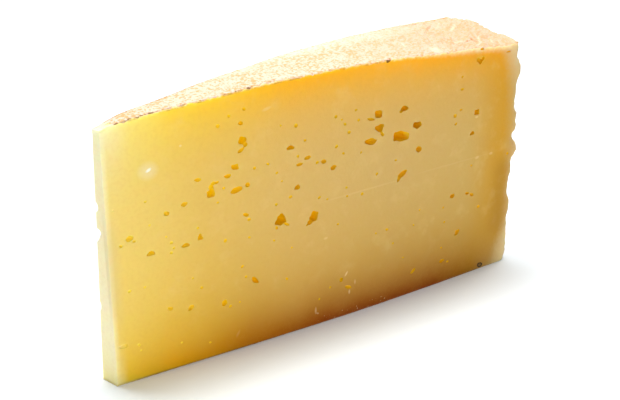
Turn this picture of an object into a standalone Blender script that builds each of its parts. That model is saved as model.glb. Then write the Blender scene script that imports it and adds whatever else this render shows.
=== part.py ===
"""A wedge of semi-hard cheese with small eyes, cut from a low wheel and standing on its lower rind.

The wedge is one solid. +X runs along the shown cut from the thin end to the rim, the shown cut faces -Y,
and +Z is up. The origin is under the middle of the wedge, on the surface that it stands on.
"""
import math
import random

import bmesh
import bpy
from mathutils import Matrix, Vector

MM = 0.001

# Driving dimensions, in metres
LENGTH = 0.1686  # from the thin end to the rim, along the shown cut
HEIGHT = 0.0905  # height of the wheel at its middle, where the thin end is
DOME = 0.0035  # how far the upper rind rises above that, half way to the rim
DOME_SHARPNESS = 1.3  # above 1 the dome starts gently at both ends
BACK_RISE = 0.0020  # the upper rind is this much higher at the back of the rim
THIN_END_WEAR = 0.0019  # the thin end's upper corner is worn down by this much
THIN_END_WEAR_REACH = 0.0065

THIN_END_WIDTH_FOOT = 0.0082
THIN_END_WIDTH_TOP = 0.0028
THIN_END_SLANT_FOOT = 0.0020  # how far the thin end's back edge passes its front edge
THIN_END_SLANT_TOP = 0.0009
RIM_WIDTH_FOOT = 0.0436
RIM_WIDTH_TOP = 0.0424

CUT_BOW_ENDS = 0.0013  # the knife drifted: the foot of the shown cut is bowed by this much at its ends
CUT_BOW_MIDDLE = 0.0024  # and comes back this much in the middle
RIM_BULGE = 0.0011  # the rim follows the round of the wheel
RIM_LEAN = 0.0017  # the rim's foot stands further out than its top
RIM_FRONT_CORNER = 0.0042  # radius of the worn corner between the rim and the shown cut
RIM_BACK_CORNER = 0.0030
RIM_UPPER_EDGE = 0.0022
RIM_FOOT_EDGE = 0.0038
RIM_SWELL = 8  # how fast the bulge and lean fade out away from the rim
RIM_LUMP_FADE = 24  # and how fast the lumps do
RIND_WAVE = 0.00014  # half the height of the slow waves in the upper rind
# Each wave's length along and across for one radian, and its phase
RIND_WAVES = ((0.0071, 0.0120, 0.0), (0.0047, -0.0067, 1.9))

# Lumps and one dent in the rim at its corner with the shown cut: height above the foot, rise, half height
CORNER_LUMPS = (
    (0.0800, 0.0027, 0.0036),
    (0.0612, 0.0024, 0.0026),
    (0.0568, 0.0023, 0.0022),
    (0.0476, 0.0034, 0.0029),
    (0.0390, 0.0005, 0.0030),
    (0.0295, -0.0010, 0.0024),
    (0.0235, 0.0015, 0.0036),
    (0.0155, 0.0006, 0.0030),
    (0.0065, 0.0012, 0.0060),
)
LUMP_REACH = 0.0065  # half width of a lump across the rim
RIM_LUMPS = 16  # smaller ones over the rest of the rim

# The larger eyes in the shown cut, in millimetres: along, up, width, height, tilt in degrees
MAIN_EYES_MM = (
    (112.8, 64.5, 7.6, 3.0, -14),
    (99.6, 65.1, 5.5, 2.4, -5),
    (119.9, 67.5, 3.9, 2.6, -19),
    (103.2, 69.0, 3.6, 2.5, -13),
    (102.8, 74.8, 3.6, 2.2, -20),
    (114.0, 74.5, 3.5, 1.7, -7),
    (121.1, 57.9, 2.9, 2.2, -23),
    (113.5, 49.5, 4.6, 2.2, 29),
    (83.7, 59.1, 2.4, 2.0, -14),
    (79.7, 62.1, 2.4, 1.7, -7),
    (73.2, 64.8, 2.6, 1.5, 4),
    (66.5, 69.7, 3.1, 1.7, -3),
    (69.0, 55.0, 2.4, 1.8, 11),
    (75.7, 42.8, 3.7, 2.8, -43),
    (73.4, 40.4, 3.0, 1.7, 37),
    (62.5, 46.2, 3.0, 2.2, -77),
    (61.8, 43.9, 4.4, 1.6, -24),
    (48.5, 75.6, 3.6, 2.7, -26),
    (48.1, 72.9, 2.8, 1.5, 33),
    (45.5, 67.4, 3.1, 2.2, -18),
    (42.5, 64.9, 2.4, 1.6, 4),
    (45.8, 59.3, 4.6, 2.0, 9),
    (36.2, 60.1, 3.7, 2.9, -31),
    (37.4, 63.2, 3.0, 1.4, 15),
    (31.8, 46.0, 2.5, 1.8, -75),
    (26.5, 44.4, 2.8, 1.7, 5),
    (14.5, 44.6, 2.7, 1.8, -3),
    (7.5, 51.5, 2.5, 2.1, 1),
    (51.8, 24.9, 3.9, 2.0, -45),
    (39.8, 19.7, 2.6, 2.0, 65),
    (148.2, 66.7, 2.9, 2.2, -33),
    (148.6, 86.0, 3.6, 2.4, -19),
    (141.5, 19.5, 2.7, 2.1, 51),
    (120.3, 9.2, 3.1, 1.5, 29),
)
SMALL_EYES_SHOWN = 22
EYES_BEHIND = 34
SMALLEST_EYE = 0.0012
LARGEST_EYE_BEHIND = 0.0046
EYE_DEPTH = 0.62  # depth of an eye as a share of its mean width
EYE_SINK = 0.25  # how far the middle of an eye lies under the face, as a share of its depth
EYE_LUMPINESS = 0.16
EYE_CLEARANCE = 0.0052  # least distance between the smaller eyes
ROUND_EYE = 0.0026  # an eye at least this wide gets a finely rounded hollow

# Nicks in the thin end's back edge: height above the foot, how tall, how deep
EDGE_NICKS = ((0.0545, 0.0030, 0.0015), (0.0632, 0.0022, 0.0007), (0.0285, 0.0020, 0.0006))

# How far apart the flat faces are cut into a lattice
SPACING_ALONG = 0.0085
SPACING_ACROSS = 0.0085
SPACING_UP = 0.0034
SAME_PLACE = 1e-5
SEED = 41

PASTE_COLOUR = (0.693, 0.440, 0.136, 1.0)
PASTE_ROUGHNESS = 0.45


def clear_scene():
    for thing in list(bpy.data.objects):
        bpy.data.objects.remove(thing, do_unlink=True)


def paste_material():
    material = bpy.data.materials.new("cheese_paste")
    material.use_nodes = True
    shader = material.node_tree.nodes["Principled BSDF"]
    shader.inputs["Base Color"].default_value = PASTE_COLOUR
    shader.inputs["Roughness"].default_value = PASTE_ROUGHNESS
    shader.inputs["Metallic"].default_value = 0.0
    material.diffuse_color = PASTE_COLOUR
    return material


def mix(low, high, share):
    return low + (high - low) * share


def rim_lumps():
    """Every lump in the rim, as (across, up, rise, half height)."""
    lumps = [(0.0, up, rise, half) for up, rise, half in CORNER_LUMPS]
    draw = random.Random(SEED)
    for _ in range(RIM_LUMPS):
        across = draw.uniform(0.25, 1.0) * RIM_WIDTH_FOOT
        up = draw.uniform(0.06, 0.94) * HEIGHT
        lumps.append((across, up, draw.uniform(0.0005, 0.0013), draw.uniform(0.0025, 0.0050)))
    return lumps


def rim_rise(lumps, across, up):
    rise = 0.0
    for lump_across, lump_up, lump_rise, half_height in lumps:
        sideways = (across - lump_across) / LUMP_REACH
        upwards = (up - lump_up) / half_height
        rise += lump_rise * math.exp(-(sideways**2) - abs(upwards) ** 3)
    return rise


def round_corner(u, v, corner_v, radius, side):
    """Bends the square corner of the block at u = LENGTH, v = corner_v into a quarter circle.

    The side is 1 where the block lies above corner_v, and -1 where it lies below.
    """
    du = u - (LENGTH - radius)
    dv = v - (corner_v + side * radius)
    if du <= 0.0 or side * dv >= 0.0:
        return u, v
    squeeze = max(abs(du), abs(dv)) / math.hypot(du, dv)
    return LENGTH - radius + du * squeeze, corner_v + side * radius + dv * squeeze


def upper_rind(along, across):
    """Height of the upper rind over a place in the plan."""
    share = min(max(along / LENGTH, 0.0), 1.0)
    dome = DOME * math.sin(math.pi * share) ** DOME_SHARPNESS
    wave = 0.0
    for lengthways, crossways, phase in RIND_WAVES:
        wave += math.sin(along / lengthways + across / crossways + phase)
    wear = THIN_END_WEAR * math.exp(-abs(along / THIN_END_WEAR_REACH) ** 1.5)
    return HEIGHT + dome + BACK_RISE * across / RIM_WIDTH_TOP + RIND_WAVE * wave - wear


def wedge_point(lumps, along, across, up):
    """Carries a point of the square block LENGTH by RIM_WIDTH_FOOT by HEIGHT onto the wedge."""
    along, across = round_corner(along, across, 0.0, RIM_FRONT_CORNER, 1)
    along, across = round_corner(along, across, RIM_WIDTH_FOOT, RIM_BACK_CORNER, -1)
    along, up = round_corner(along, up, 0.0, RIM_FOOT_EDGE, 1)
    along, up = round_corner(along, up, HEIGHT, RIM_UPPER_EDGE, -1)
    to_rim = along / LENGTH
    to_back = across / RIM_WIDTH_FOOT
    to_top = up / HEIGHT
    bow = (CUT_BOW_ENDS - CUT_BOW_MIDDLE * math.sin(math.pi * min(to_rim, 1.0))) * (1.0 - to_top)
    slant = mix(THIN_END_SLANT_FOOT, THIN_END_SLANT_TOP, to_top)
    width_here = mix(
        mix(THIN_END_WIDTH_FOOT, THIN_END_WIDTH_TOP, to_top), mix(RIM_WIDTH_FOOT, RIM_WIDTH_TOP, to_top), to_rim
    )
    x = along - slant * to_back * (1.0 - to_rim)
    y = mix(bow, width_here, to_back)
    x += (RIM_BULGE * math.sin(math.pi * to_back) + RIM_LEAN * (1.0 - to_top)) * to_rim**RIM_SWELL
    x += rim_rise(lumps, across, up) * to_rim**RIM_LUMP_FADE
    z = upper_rind(x, y) * to_top
    return Vector((x, y, z))


def stations(length, spacing, near_start, near_end):
    """Places to cut along one side of the block: even between its ends, and closer where an edge is round."""
    first = near_start[-1] if near_start else 0.0
    last = length - (near_end[-1] if near_end else 0.0)
    count = max(round((last - first) / spacing), 1)
    even = [mix(first, last, step / count) for step in range(count + 1)]
    places = list(near_start) + even + [length - place for place in near_end]
    return sorted({round(place, 6) for place in places if SAME_PLACE < place < length - SAME_PLACE})


def cut_block():
    """A closed block with one corner at the origin, cut into a lattice by planes across each axis."""
    block = bmesh.new()
    bmesh.ops.create_cube(block, size=1.0)
    sides = Vector((LENGTH, RIM_WIDTH_FOOT, HEIGHT))
    bmesh.ops.translate(block, verts=block.verts, vec=(0.5, 0.5, 0.5))
    bmesh.ops.scale(block, verts=block.verts, vec=sides)
    front = [RIM_FRONT_CORNER * share for share in (0.3, 0.62, 1.0)]
    back = [RIM_BACK_CORNER * share for share in (0.4, 1.0)]
    foot = [RIM_FOOT_EDGE * share for share in (0.4, 1.0)]
    top = [RIM_UPPER_EDGE * share for share in (0.45, 1.0)]
    cuts = (
        (0, stations(LENGTH, SPACING_ALONG, (), front)),
        (1, stations(RIM_WIDTH_FOOT, SPACING_ACROSS, front, back)),
        (2, stations(HEIGHT, SPACING_UP, foot, top)),
    )
    for axis, places in cuts:
        normal = Vector((0.0, 0.0, 0.0))
        normal[axis] = 1.0
        for place in places:
            everything = block.verts[:] + block.edges[:] + block.faces[:]
            bmesh.ops.bisect_plane(block, geom=everything, plane_co=normal * place, plane_no=normal)
    return block


def add_object(name, mesh_builder, material):
    mesh = bpy.data.meshes.new(name)
    mesh_builder.to_mesh(mesh)
    mesh_builder.free()
    mesh.materials.append(material)
    item = bpy.data.objects.new(name, mesh)
    bpy.context.scene.collection.objects.link(item)
    return item


def wedge_body(lumps, material):
    block = cut_block()
    for corner in block.verts:
        corner.co = wedge_point(lumps, *corner.co)
    bmesh.ops.triangulate(block, faces=block.faces[:])
    bmesh.ops.recalc_face_normals(block, faces=block.faces[:])
    return add_object("cheese", block, material)


def add_hollow(cutter, draw, place, outward, width, height, tilt):
    """One lumpy hollow in the cutter, centred a little under the face whose outward direction is given."""
    depth = EYE_DEPTH * (width + height) / 2
    fine = 2 if max(width, height) >= ROUND_EYE else 1
    made = bmesh.ops.create_icosphere(cutter, subdivisions=fine, radius=0.5)["verts"]
    for corner in made:
        corner.co *= 1.0 + draw.uniform(-EYE_LUMPINESS, EYE_LUMPINESS)
    side = Vector((0.0, 0.0, 1.0)).cross(outward).normalized()
    upright = outward.cross(side)
    facing = Matrix((side, upright, outward)).transposed().to_4x4()
    turned = Matrix.Rotation(math.radians(tilt), 4, "Z")
    sized = Matrix.Diagonal((width, height, 2 * depth, 1.0))
    centre = place - outward * depth * EYE_SINK
    bmesh.ops.transform(cutter, matrix=Matrix.Translation(centre) @ facing @ turned @ sized, verts=made)


def free_spots(draw, taken, count):
    """Places in a cut face, along and up, clear of those taken and of each other, more of them high than low."""
    spots = []
    while len(spots) < count:
        spot = Vector((draw.uniform(0.05, 0.93) * LENGTH, mix(0.08, 0.93, draw.random() ** 0.75) * HEIGHT))
        if all((other - spot).length > EYE_CLEARANCE for other in taken + spots):
            spots.append(spot)
    return spots


def eye_cutter(lumps, material):
    """All the eyes and edge nicks as one wire cutter."""
    draw = random.Random(SEED + 1)
    cutter = bmesh.new()
    forward = Vector((0.0, -1.0, 0.0))
    taken = []
    for row in MAIN_EYES_MM:
        along, up, width, height = (number * MM for number in row[:4])
        taken.append(Vector((along, up)))
        place = wedge_point(lumps, along, 0.0, up * HEIGHT / upper_rind(along, 0.0))
        add_hollow(cutter, draw, place, forward, width, height, row[4])
    for spot in free_spots(draw, taken, SMALL_EYES_SHOWN):
        place = wedge_point(lumps, spot.x, 0.0, spot.y)
        width = SMALLEST_EYE * draw.uniform(1.0, 1.4)
        add_hollow(cutter, draw, place, forward, width, width * draw.uniform(0.7, 1.0), draw.uniform(-40, 40))
    backward = Vector((THIN_END_WIDTH_FOOT - RIM_WIDTH_FOOT, LENGTH, 0.0)).normalized()
    for spot in free_spots(draw, [], EYES_BEHIND):
        place = wedge_point(lumps, spot.x, RIM_WIDTH_FOOT, spot.y)
        width = mix(SMALLEST_EYE, LARGEST_EYE_BEHIND, draw.random() ** 3)
        add_hollow(cutter, draw, place, backward, width, width * draw.uniform(0.5, 0.95), draw.uniform(-50, 50))
    outward = Vector((-THIN_END_WIDTH_FOOT, THIN_END_SLANT_FOOT, 0.0)).normalized()
    for up, tall, deep in EDGE_NICKS:
        place = wedge_point(lumps, 0.0, RIM_WIDTH_FOOT, up)
        add_hollow(cutter, draw, place, outward, 2 * deep / EYE_DEPTH, tall, 0.0)
    bmesh.ops.recalc_face_normals(cutter, faces=cutter.faces[:])
    item = add_object("eye_cutter", cutter, material)
    item.hide_render = True
    item.display_type = "WIRE"
    return item


def cut_eyes(body, cutter):
    hollow = body.modifiers.new("eyes", "BOOLEAN")
    hollow.operation = "DIFFERENCE"
    hollow.solver = "EXACT"
    hollow.use_self = True
    hollow.object = cutter


def set_on_origin(*items):
    """Puts the middle of the wedge's foot at the origin. The first item is the wedge."""
    corners = [corner.co for corner in items[0].data.vertices]
    low = Vector([min(corner[axis] for corner in corners) for axis in range(3)])
    high = Vector([max(corner[axis] for corner in corners) for axis in range(3)])
    shift = Vector((-(low.x + high.x) / 2, -(low.y + high.y) / 2, -low.z))
    for item in items:
        item.data.transform(Matrix.Translation(shift))


def build():
    clear_scene()
    material = paste_material()
    lumps = rim_lumps()
    body = wedge_body(lumps, material)
    cutter = eye_cutter(lumps, material)
    set_on_origin(body, cutter)
    cut_eyes(body, cutter)


build()
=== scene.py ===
"""A wedge of semi-hard cheese on a white table: the finish of every surface, over the part's own frame."""
import math
import random

import bpy
import numpy as np
from mathutils import Euler, Matrix, Vector, noise


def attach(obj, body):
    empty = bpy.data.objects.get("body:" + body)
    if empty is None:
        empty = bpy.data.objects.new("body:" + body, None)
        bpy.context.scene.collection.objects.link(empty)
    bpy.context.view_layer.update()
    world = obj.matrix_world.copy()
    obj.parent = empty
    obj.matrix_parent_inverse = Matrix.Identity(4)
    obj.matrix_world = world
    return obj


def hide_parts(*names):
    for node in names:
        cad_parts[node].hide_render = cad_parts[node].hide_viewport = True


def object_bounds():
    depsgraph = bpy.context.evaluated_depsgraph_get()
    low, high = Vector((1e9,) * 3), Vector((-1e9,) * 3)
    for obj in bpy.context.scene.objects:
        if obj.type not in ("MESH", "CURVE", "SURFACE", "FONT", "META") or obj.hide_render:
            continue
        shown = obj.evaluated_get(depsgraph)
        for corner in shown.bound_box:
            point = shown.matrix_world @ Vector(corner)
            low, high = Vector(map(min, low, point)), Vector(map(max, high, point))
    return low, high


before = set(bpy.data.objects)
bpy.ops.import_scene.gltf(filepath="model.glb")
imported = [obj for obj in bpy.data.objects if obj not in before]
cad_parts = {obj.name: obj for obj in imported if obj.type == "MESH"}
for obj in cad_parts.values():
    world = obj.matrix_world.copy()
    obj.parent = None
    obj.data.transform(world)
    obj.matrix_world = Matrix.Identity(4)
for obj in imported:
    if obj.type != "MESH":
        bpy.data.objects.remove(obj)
CAD_LOW, CAD_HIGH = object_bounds()

# The camera. It stands off the thin end, a little above the wedge, and looks down along the shown cut.
# Its lens is a short telephoto one, and its place and turn were fitted to the wedge's own edges.
LENS = 63.9
CAMERA_BACK = Vector((-0.2013, -0.3089, 0.1970))
CAMERA_TURN = math.radians(-33.5)
CAMERA_TILT = math.radians(23.2)


def add_camera():
    data = bpy.data.cameras.new("camera")
    data.lens = LENS
    camera = bpy.data.objects.new("camera", data)
    bpy.context.scene.collection.objects.link(camera)
    camera.location = CAMERA_BACK
    camera.rotation_euler = Euler((math.pi / 2 - CAMERA_TILT, 0.0, CAMERA_TURN))
    bpy.context.scene.camera = camera


add_camera()

# The table. It is a flat sheet of white laminate, far wider than the picture, and the wedge stands on it.
# It only sets the stage, so it rides on no body.
TABLE_SIZE = 6.0
TABLE_WHITE = (0.885, 0.940, 0.975, 1.0)
TABLE_ROUGHNESS = 0.6
TABLE_SHEEN = 0.2


def add_table():
    bpy.ops.object.select_all(action="DESELECT")
    bpy.ops.mesh.primitive_plane_add(size=TABLE_SIZE)
    table = bpy.context.object
    table.name = "table"
    material = bpy.data.materials.new("white_table")
    material.use_nodes = True
    shader = material.node_tree.nodes["Principled BSDF"]
    shader.inputs["Base Color"].default_value = TABLE_WHITE
    shader.inputs["Roughness"].default_value = TABLE_ROUGHNESS
    shader.inputs["Specular IOR Level"].default_value = TABLE_SHEEN
    table.data.materials.append(material)


add_table()

# The light. A large soft box hangs behind and above, a weaker one stands in front, and a faint even sky
# fills the rest. Each box has its watts, its size along and across, and its place, and faces the wedge.
SKY = 0.17
OVERHEAD_LIGHT = (16.3, (1.0, 0.32), (0.08, 0.18, 1.0))
FRONT_LIGHT = (3.62, (0.5, 0.5), (-0.38, -0.90, 0.36))


def light_sky():
    world = bpy.data.worlds.new("soft_sky")
    world.use_nodes = True
    background = world.node_tree.nodes["Background"]
    background.inputs["Color"].default_value = (1.0, 1.0, 1.0, 1.0)
    background.inputs["Strength"].default_value = SKY
    bpy.context.scene.world = world


def add_light(name, watts, size, place):
    data = bpy.data.lights.new(name, "AREA")
    data.energy = watts
    data.shape = "RECTANGLE"
    data.size, data.size_y = size
    light = bpy.data.objects.new(name, data)
    bpy.context.scene.collection.objects.link(light)
    light.location = place
    light.rotation_euler = (-Vector(place)).to_track_quat("-Z", "Y").to_euler()


light_sky()
add_light("overhead_light", *OVERHEAD_LIGHT)
add_light("front_light", *FRONT_LIGHT)
bpy.context.scene.view_settings.view_transform = "Standard"

# The wedge. It is one piece of pressed curd, cut from a wheel with a long knife, so two faces are bare paste
# and three are rind: the upper and lower faces, which the cheese cloth grained, and the lumpy rim.
# Its sizes are those of the solid that it stands for, in metres.
LENGTH = 0.1686
HEIGHT = 0.0905
DOME = 0.0035
DOME_SHARPNESS = 1.3
BACK_RISE = 0.0020
THIN_END_WEAR = 0.0019
THIN_END_WEAR_REACH = 0.0065
THIN_END_WEAR_SHARPNESS = 1.5
THIN_END_WIDTH_FOOT = 0.0082
THIN_END_WIDTH_TOP = 0.0028
THIN_END_SLANT_FOOT = 0.0020
THIN_END_SLANT_TOP = 0.0009
RIM_WIDTH_FOOT = 0.0436
RIM_WIDTH_TOP = 0.0424
CUT_BOW_ENDS = 0.0013
CUT_BOW_MIDDLE = 0.0024
RIM_BULGE = 0.0011
RIM_LEAN = 0.0017
RIM_FRONT_CORNER = 0.0042
RIM_BACK_CORNER = 0.0044
RIM_UPPER_EDGE = 0.0022
RIM_FOOT_EDGE = 0.0038
RIM_SWELL = 8
RIM_LUMP_FADE = 24
RIND_WAVE = 0.00014
RIND_WAVES = ((0.0071, 0.0120, 0.0), (0.0047, -0.0067, 1.9))
# Lumps of the rim's rind at its front corner: how far up, how far out, and half the height
CORNER_LUMPS = (
    (0.0794, 0.0028, 0.0040), (0.0690, 0.0006, 0.0050), (0.0612, 0.0026, 0.0026),
    (0.0568, 0.0025, 0.0022), (0.0474, 0.0037, 0.0034), (0.0390, 0.0009, 0.0030),
    (0.0295, -0.0006, 0.0024), (0.0235, 0.0018, 0.0036), (0.0155, 0.0009, 0.0030),
    (0.0065, 0.0013, 0.0060),
)
LUMP_REACH = 0.0065
LUMP_SHARPNESS = 3
# Swells of the rim's upper edge, the last one a dip: where across, how far out, how far up, and their reach
UPPER_SWELLS = (
    (0.0300, 0.0011, 0.0003, 0.0095),
    (0.0075, 0.0009, 0.0003, 0.0055),
    (0.0436, -0.0010, -0.0012, 0.0080),
)
UPPER_SWELL_FADE = 5
# The other lumps of the rim are drawn at random: shares of the rim's width and height, then metres
RIM_LUMPS = 16
RIM_LUMP_ACROSS = (0.25, 1.0)
RIM_LUMP_UP = (0.06, 0.94)
RIM_LUMP_RISE = (0.0005, 0.0013)
RIM_LUMP_HALF = (0.0025, 0.0050)
SEED = 41

# The foot's front edge curls up a little from the table over part of its length.
FOOT_LIFT = 0.0003
FOOT_LIFT_AT = 0.048
FOOT_LIFT_LENGTH = 0.036
FOOT_LIFT_DEPTH = 0.004
FOOT_LIFT_SHARPNESS = 4
FOOT_LIFT_FADE = 40

# The knife leaves edges this round, and the mesh has this many cells along, across and up, with fine ones
# beside each edge.
KNIFE_EDGE = 0.0006
RIND_START = 0.0055
RIND_START_RAGGED = 0.0008
RIND_START_PITCH = 0.0011
CELLS_ALONG = (14, 18)
CELLS_ACROSS = (13, 4)
CELLS_UP = (11, 6)
EDGE_CELL = 0.0002
EDGE_CELLS = 3

# The mesh's material slots: the paste's is the first, and the rind's and the eyes' follow.
RIND_SLOT = 1
EYE_SLOT = 2

# The block's corner in the frame: the frame's origin is under the middle of the wedge.
ORIGIN = Vector((CAD_LOW.x + THIN_END_SLANT_FOOT, CAD_LOW.y + CUT_BOW_MIDDLE - CUT_BOW_ENDS, 0.0))


def rim_lumps():
    """All the rim's lumps: how far across and up, how far out, and half the height."""
    lumps = [(0.0, up, rise, half) for up, rise, half in CORNER_LUMPS]
    draw = random.Random(SEED)
    for _ in range(RIM_LUMPS):
        across = draw.uniform(*RIM_LUMP_ACROSS) * RIM_WIDTH_FOOT
        up = draw.uniform(*RIM_LUMP_UP) * HEIGHT
        lumps.append((across, up, draw.uniform(*RIM_LUMP_RISE), draw.uniform(*RIM_LUMP_HALF)))
    return lumps


def mix(low, high, share):
    return low + (high - low) * share


def round_corner(u, v, corner_u, corner_v, radius, sides):
    """Bends the block's square corner at (corner_u, corner_v) into a quarter circle.

    The sides say which way the block lies from the corner, 1 or -1 along u and v.
    """
    du = u - (corner_u + sides[0] * radius)
    dv = v - (corner_v + sides[1] * radius)
    near = (sides[0] * du < 0.0) & (sides[1] * dv < 0.0)
    reach = np.hypot(du, dv)
    squeeze = np.where(near, np.maximum(np.abs(du), np.abs(dv)) / np.maximum(reach, 1e-9), 1.0)
    return corner_u + sides[0] * radius + du * squeeze, corner_v + sides[1] * radius + dv * squeeze


def upper_rind(along, across):
    """The height of the upper rind over the table: domed, wavy, and worn at the thin end."""
    share = np.clip(along / LENGTH, 0.0, 1.0)
    dome = DOME * np.sin(math.pi * share) ** DOME_SHARPNESS
    wear = THIN_END_WEAR * np.exp(-np.abs(along / THIN_END_WEAR_REACH) ** THIN_END_WEAR_SHARPNESS)
    wave = sum(np.sin(along / one + across / other + phase) for one, other, phase in RIND_WAVES)
    return HEIGHT + dome + BACK_RISE * across / RIM_WIDTH_TOP + RIND_WAVE * wave - wear


def wedge_points(along, across, up):
    """Carries points of the square block onto the wedge, as rows of x, y, z in the frame."""
    along, across = round_corner(along, across, LENGTH, 0.0, RIM_FRONT_CORNER, (-1, 1))
    along, across = round_corner(along, across, LENGTH, RIM_WIDTH_FOOT, RIM_BACK_CORNER, (-1, -1))
    along, up = round_corner(along, up, LENGTH, 0.0, RIM_FOOT_EDGE, (-1, 1))
    along, up = round_corner(along, up, LENGTH, HEIGHT, RIM_UPPER_EDGE, (-1, -1))
    for side, width in ((1, 0.0), (-1, RIM_WIDTH_FOOT)):
        for turn, height in ((1, 0.0), (-1, HEIGHT)):
            across, up = round_corner(across, up, width, height, KNIFE_EDGE, (side, turn))
    to_rim = along / LENGTH
    to_back = across / RIM_WIDTH_FOOT
    to_top = up / HEIGHT
    bow = (CUT_BOW_ENDS - CUT_BOW_MIDDLE * np.sin(math.pi * np.minimum(to_rim, 1.0))) * (1.0 - to_top)
    slant = mix(THIN_END_SLANT_FOOT, THIN_END_SLANT_TOP, to_top)
    thin_end = mix(THIN_END_WIDTH_FOOT, THIN_END_WIDTH_TOP, to_top)
    x = along - slant * to_back * (1.0 - to_rim)
    y = mix(bow, mix(thin_end, mix(RIM_WIDTH_FOOT, RIM_WIDTH_TOP, to_top), to_rim), to_back)
    x = x + (RIM_BULGE * np.sin(math.pi * to_back) + RIM_LEAN * (1.0 - to_top)) * to_rim**RIM_SWELL
    for lump_across, lump_up, rise, half in rim_lumps():
        beside = ((across - lump_across) / LUMP_REACH) ** 2
        above = np.abs((up - lump_up) / half) ** LUMP_SHARPNESS
        x = x + rise * np.exp(-beside - above) * to_rim**RIM_LUMP_FADE
    z = upper_rind(x, y) * to_top
    for swell_across, out, rise, reach in UPPER_SWELLS:
        swell = np.exp(-(((across - swell_across) / reach) ** 2)) * to_top**UPPER_SWELL_FADE
        x = x + out * swell * to_rim**RIM_LUMP_FADE
        z = z + rise * swell * to_rim**RIM_SWELL
    from_lift = ((along - FOOT_LIFT_AT) / FOOT_LIFT_LENGTH) ** FOOT_LIFT_SHARPNESS
    z = z + FOOT_LIFT * np.exp(-from_lift - across / FOOT_LIFT_DEPTH) * (1.0 - to_top) ** FOOT_LIFT_FADE
    return np.stack([x, y, z], axis=1) + np.array(ORIGIN)


def read_rows(items, name, width=3, kind=float):
    """One value of every corner, edge or polygon of a mesh, as rows."""
    rows = np.empty(len(items) * width, dtype=kind)
    items.foreach_get(name, rows)
    return rows.reshape(-1, width)


def move_corners(block, places):
    block.data.vertices.foreach_set("co", places.ravel())
    block.data.update()


def subdivide_along(block, axis, cells):
    """Cuts the selected piece into cells across one axis, in two passes, because one pass makes few cuts."""
    for count in cells:
        bpy.ops.object.mode_set(mode="OBJECT")
        corners = read_rows(block.data.vertices, "co")
        ends = read_rows(block.data.edges, "vertices", 2, int)
        reach = np.abs(corners[ends[:, 0]] - corners[ends[:, 1]])
        bpy.ops.object.mode_set(mode="EDIT")
        bpy.ops.mesh.select_mode(type="EDGE")
        bpy.ops.mesh.select_all(action="DESELECT")
        bpy.ops.object.mode_set(mode="OBJECT")
        block.data.edges.foreach_set("select", reach.argmax(axis=1) == axis)
        bpy.ops.object.mode_set(mode="EDIT")
        bpy.ops.mesh.subdivide(number_cuts=count - 1)
    bpy.ops.object.mode_set(mode="OBJECT")


def crowd_edges(places, length, cells):
    """Moves evenly spaced places along one side so that the first and last few cells are edge cells."""
    step = np.rint(places / length * cells)
    inner = (step - EDGE_CELLS) / (cells - 2 * EDGE_CELLS)
    band = EDGE_CELL * EDGE_CELLS
    middle = mix(band, length - band, inner)
    return np.where(
        step < EDGE_CELLS,
        step * EDGE_CELL,
        np.where(step > cells - EDGE_CELLS, length - (cells - step) * EDGE_CELL, middle),
    )


def add_block():
    bpy.ops.object.select_all(action="DESELECT")
    sides = Vector((LENGTH, RIM_WIDTH_FOOT, HEIGHT))
    bpy.ops.mesh.primitive_cube_add(size=1.0, location=sides / 2, scale=sides)
    block = bpy.context.object
    block.name = "cheese_wedge"
    bpy.ops.object.transform_apply(location=True, rotation=False, scale=True)
    for axis, cells in enumerate((CELLS_ALONG, CELLS_ACROSS, CELLS_UP)):
        subdivide_along(block, axis, cells)
    return block


def block_faces(block):
    """The block's corners, and which of its polygons are rind, before the block is shaped."""
    normals = read_rows(block.data.polygons, "normal")
    centres = read_rows(block.data.polygons, "center")
    ragged = RIND_START + RIND_START_RAGGED * np.sin(centres[:, 1] / RIND_START_PITCH)
    worn = (normals[:, 2] > 0.5) & (centres[:, 0] < ragged)
    rind_polygons = (normals[:, 0] > 0.5) | (np.abs(normals[:, 2]) > 0.5)
    return read_rows(block.data.vertices, "co"), rind_polygons & ~worn


def shape_wedge(block):
    """Gives the block its rind slot and the wedge's shape, and returns its corners as they were before."""
    corners, rind_polygons = block_faces(block)
    block.data.polygons.foreach_set("material_index", rind_polygons.astype(int) * RIND_SLOT)
    even = corners.copy()
    for axis, (length, cells) in enumerate(
        ((LENGTH, CELLS_ALONG), (RIM_WIDTH_FOOT, CELLS_ACROSS), (HEIGHT, CELLS_UP))
    ):
        even[:, axis] = crowd_edges(corners[:, axis], length, cells[0] * cells[1])
    move_corners(block, wedge_points(*even.T))
    return even


# How deep the cloth's grain, the crags and the wrinkles go into the rind. The noise values are the
# roughness, the step between octaves and their number.
CLOTH_PITCH = 0.00085
CLOTH_TURN = 6.2
CLOTH_DEPTH = 0.00010
CRAG_SIZE = 0.0021
CRAG_NOISE = (0.7, 2.1, 4)
CRAG_DEPTH = 0.00042
CRAG_SHARE_AT_RIM = 0.6
WRINKLE_SIZE = 0.0046
WRINKLE_STRETCH = 0.2
WRINKLE_SHARPNESS = 4
WRINKLE_DEPTH = 0.00065
WRINKLES_FROM = 0.55
WRINKLES_GROW_OVER = 0.3
RIM_FACE_START = 0.4
RIM_OUT = 0.00035
BOX_GAP = 0.00010
SOFT_STOP = 0.0004
TOUCHING = 1e-6

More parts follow.
